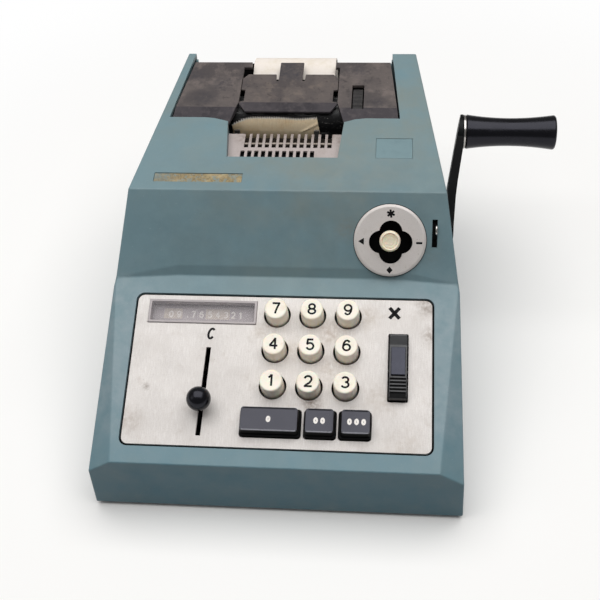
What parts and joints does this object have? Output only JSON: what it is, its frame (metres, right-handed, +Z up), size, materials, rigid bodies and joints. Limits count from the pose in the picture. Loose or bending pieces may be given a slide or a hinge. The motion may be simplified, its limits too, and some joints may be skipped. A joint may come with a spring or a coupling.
{
  "type": "adding machine",
  "caption": "Hand-cranked printing adding machine: wedge-shaped casing, sloped ten-key panel, selector dial, print window, paper roll and side crank.",
  "frame": {"origin": "on the desk under the feet, at the middle of the whole outline seen from above", "axes": "+Z up, +X to the operator's right (crank side), the keyboard's front skirt faces -Y"},
  "size_m": [0.2828, 0.2964, 0.1394],
  "materials": {
    "casing_enamel": "satin blue-grey enamel on a cast casing",
    "base_steel": "grey painted sheet",
    "foot_rubber": "matt",
    "zinc_screws": "zinc plated",
    "panel_aluminium": "fine satin",
    "lens_acrylic": "clear",
    "scale_grey": "matt print",
    "key_ivory": "polished",
    "key_black": "polished",
    "frame_steel": "bright zinc plating",
    "rod_steel": "ground",
    "spring_steel": "blued",
    "carriage_zinc": "as cast",
    "dial_white": "satin",
    "cup_black": "matt",
    "tab_chrome": "polished",
    "plate_brass": "worn",
    "badge_grey": "matt",
    "comb_satin": "satin",
    "paper_aged": "aged",
    "paper_white": "plain",
    "platen_rubber": "ground",
    "wheel_black": "knurled",
    "cover_bronze": "satin, dusty",
    "spool_black": "matt",
    "ribbon_ink": "inked",
    "arm_paint": "satin black",
    "grip_black": "polished",
    "register_brass": "plain"
  },
  "bodies": {
    "machine": {"upper_casing": "casing_enamel", "base_plate": "base_steel", "rubber_feet": "foot_rubber", "base_screws": "zinc_screws", "keyboard_panel": "panel_aluminium", "window_lens": "lens_acrylic", "indicator_scale": "scale_grey", "stem_guide": "frame_steel", "keyboard_posts": "rod_steel", "spring_comb": "spring_steel", "carriage_rail": "frame_steel", "lever_brackets": "frame_steel", "selector_ring": "dial_white", "selector_cup": "cup_black", "tab_guide": "frame_steel", "name_plate": "plate_brass", "badge_plate": "badge_grey", "comb_plate": "comb_satin", "paper_strip": "paper_aged", "top_cover": "cover_bronze", "flap_pin": "rod_steel", "roll_spindle": "rod_steel", "ink_ribbon": "ribbon_ink", "ribbon_plate": "frame_steel", "side_frames": "frame_steel", "tie_rods": "rod_steel"},
    "key_1": {"key_1": "key_ivory"},
    "key_2": {"key_2": "key_ivory"},
    "key_3": {"key_3": "key_ivory"},
    "key_4": {"key_4": "key_ivory"},
    "key_5": {"key_5": "key_ivory"},
    "key_6": {"key_6": "key_ivory"},
    "key_7": {"key_7": "key_ivory"},
    "key_8": {"key_8": "key_ivory"},
    "key_9": {"key_9": "key_ivory"},
    "key_0": {"key_0": "key_black"},
    "key_00": {"key_00": "key_black"},
    "key_000": {"key_000": "key_black"},
    "carriage": {"pin_carriage": "carriage_zinc"},
    "clear": {"clear_lever": "frame_steel", "clear_knob": "key_black"},
    "rocker": {"multiply_rocker": "key_black"},
    "gimbal": {"selector_gimbal": "frame_steel"},
    "selector": {"selector_button": "key_ivory", "selector_stem": "rod_steel"},
    "tab": {"release_tab": "tab_chrome"},
    "crank": {"main_shaft": "rod_steel", "drive_sector": "frame_steel", "crank_arm": "arm_paint", "crank_ferrule": "tab_chrome"},
    "grip": {"crank_grip": "grip_black"},
    "type": {"type_bars": "frame_steel"},
    "platen": {"platen": "platen_rubber", "thumbwheel": "wheel_black"},
    "rollers": {"pressure_rollers": "platen_rubber"},
    "flap": {"paper_flap": "cover_bronze"},
    "roll": {"paper_roll": "paper_white"},
    "left_spool": {"spool_left": "spool_black"},
    "right_spool": {"spool_right": "spool_black"},
    "register": {"register_wheels": "register_brass"}
  },
  "joints": [
    {"name": "key_1_press", "type": "slide", "parent": "machine", "child": "key_1", "axis": [0, 0.342, -0.9397], "range_m": [0, 0.0045], "stiffness_N_per_m": 200, "springref_m": -0.002},
    {"name": "key_2_press", "type": "slide", "parent": "machine", "child": "key_2", "axis": [0, 0.342, -0.9397], "range_m": [0, 0.0045], "stiffness_N_per_m": 200, "springref_m": -0.002},
    {"name": "key_3_press", "type": "slide", "parent": "machine", "child": "key_3", "axis": [0, 0.342, -0.9397], "range_m": [0, 0.0045], "stiffness_N_per_m": 200, "springref_m": -0.002},
    {"name": "key_4_press", "type": "slide", "parent": "machine", "child": "key_4", "axis": [0, 0.342, -0.9397], "range_m": [0, 0.0045], "stiffness_N_per_m": 200, "springref_m": -0.002},
    {"name": "key_5_press", "type": "slide", "parent": "machine", "child": "key_5", "axis": [0, 0.342, -0.9397], "range_m": [0, 0.0045], "stiffness_N_per_m": 200, "springref_m": -0.002},
    {"name": "key_6_press", "type": "slide", "parent": "machine", "child": "key_6", "axis": [0, 0.342, -0.9397], "range_m": [0, 0.0045], "stiffness_N_per_m": 200, "springref_m": -0.002},
    {"name": "key_7_press", "type": "slide", "parent": "machine", "child": "key_7", "axis": [0, 0.342, -0.9397], "range_m": [0, 0.0045], "stiffness_N_per_m": 200, "springref_m": -0.002},
    {"name": "key_8_press", "type": "slide", "parent": "machine", "child": "key_8", "axis": [0, 0.342, -0.9397], "range_m": [0, 0.0045], "stiffness_N_per_m": 200, "springref_m": -0.002},
    {"name": "key_9_press", "type": "slide", "parent": "machine", "child": "key_9", "axis": [0, 0.342, -0.9397], "range_m": [0, 0.0045], "stiffness_N_per_m": 200, "springref_m": -0.002},
    {"name": "key_0_press", "type": "slide", "parent": "machine", "child": "key_0", "axis": [0, 0.342, -0.9397], "range_m": [0, 0.0045], "stiffness_N_per_m": 200, "springref_m": -0.002},
    {"name": "key_00_press", "type": "slide", "parent": "machine", "child": "key_00", "axis": [0, 0.342, -0.9397], "range_m": [0, 0.0045], "stiffness_N_per_m": 200, "springref_m": -0.002},
    {"name": "key_000_press", "type": "slide", "parent": "machine", "child": "key_000", "axis": [0, 0.342, -0.9397], "range_m": [0, 0.0045], "stiffness_N_per_m": 200, "springref_m": -0.002},
    {"name": "carriage_step", "type": "slide", "parent": "machine", "child": "carriage", "axis": [-1, 0, 0], "range_m": [0, 0.05]},
    {"name": "clear_swing", "type": "hinge", "parent": "machine", "child": "clear", "pos_m": [-0.07469, -0.09438, 0.03133], "axis": [0.9996, -0.0262, -0.0096], "range_deg": [-35, 12], "stiffness_Nm_per_rad": 0.12},
    {"name": "multiply_rock", "type": "hinge", "parent": "machine", "child": "rocker", "pos_m": [0.04021, -0.08573, 0.05948], "axis": [1, 0, 0], "range_deg": [-4, 4], "stiffness_Nm_per_rad": 0.1},
    {"name": "selector_tilt_y", "type": "hinge", "parent": "machine", "child": "gimbal", "pos_m": [0.03376, -0.00543, 0.09447], "axis": [1, 0, 0], "range_deg": [-7, 7], "stiffness_Nm_per_rad": 0.1},
    {"name": "selector_tilt_x", "type": "hinge", "parent": "gimbal", "child": "selector", "pos_m": [0.03376, -0.00543, 0.09447], "axis": [0, 0.6184, 0.7859], "range_deg": [-7, 7], "stiffness_Nm_per_rad": 0.1},
    {"name": "tab_slide", "type": "slide", "parent": "machine", "child": "tab", "axis": [0, -0.6184, -0.7859], "range_m": [0, 0.0066], "stiffness_N_per_m": 150, "springref_m": -0.003},
    {"name": "crank_pull", "type": "hinge", "parent": "machine", "child": "crank", "pos_m": [0.07116, 0.03197, 0.06986], "axis": [1, 0, 0], "range_deg": [0, 100], "stiffness_Nm_per_rad": 0.3, "springref_deg": -17.19},
    {"name": "grip_spin", "type": "hinge", "parent": "crank", "child": "grip", "pos_m": [0.10956, 0.0799, 0.11302], "axis": [1, 0, 0], "continuous": true},
    {"name": "type_lift", "type": "slide", "parent": "machine", "child": "type", "axis": [0, 0, 1], "range_m": [0, 0.012]},
    {"name": "platen_turn", "type": "hinge", "parent": "machine", "child": "platen", "pos_m": [-0.03044, 0.08697, 0.11796], "axis": [1, 0, 0], "continuous": true},
    {"name": "roller_turn", "type": "hinge", "parent": "machine", "child": "rollers", "pos_m": [-0.03044, 0.08697, 0.09596], "axis": [1, 0, 0], "continuous": true},
    {"name": "flap_lift", "type": "hinge", "parent": "machine", "child": "flap", "pos_m": [-0.03584, 0.10748, 0.13358], "axis": [-1, 0, 0], "range_deg": [0, 10]},
    {"name": "roll_turn", "type": "hinge", "parent": "machine", "child": "roll", "pos_m": [-0.03474, 0.12917, 0.11536], "axis": [1, 0, 0], "continuous": true},
    {"name": "left_spool_turn", "type": "hinge", "parent": "machine", "child": "left_spool", "pos_m": [-0.07994, 0.05547, 0.10786], "axis": [0, 0, 1], "continuous": true},
    {"name": "right_spool_turn", "type": "hinge", "parent": "machine", "child": "right_spool", "pos_m": [0.01006, 0.05547, 0.10786], "axis": [0, 0, 1], "continuous": true},
    {"name": "register_turn", "type": "hinge", "parent": "machine", "child": "register", "pos_m": [-0.03044, 0.07097, 0.04186], "axis": [1, 0, 0], "continuous": true}
  ],
  "couplings": [
    {"joint": "type_lift", "follows": "crank_pull", "m_per_rad": 0.00687},
    {"joint": "roller_turn", "follows": "platen_turn", "ratio": -2.4167},
    {"joint": "right_spool_turn", "follows": "left_spool_turn", "ratio": 1}
  ]
}
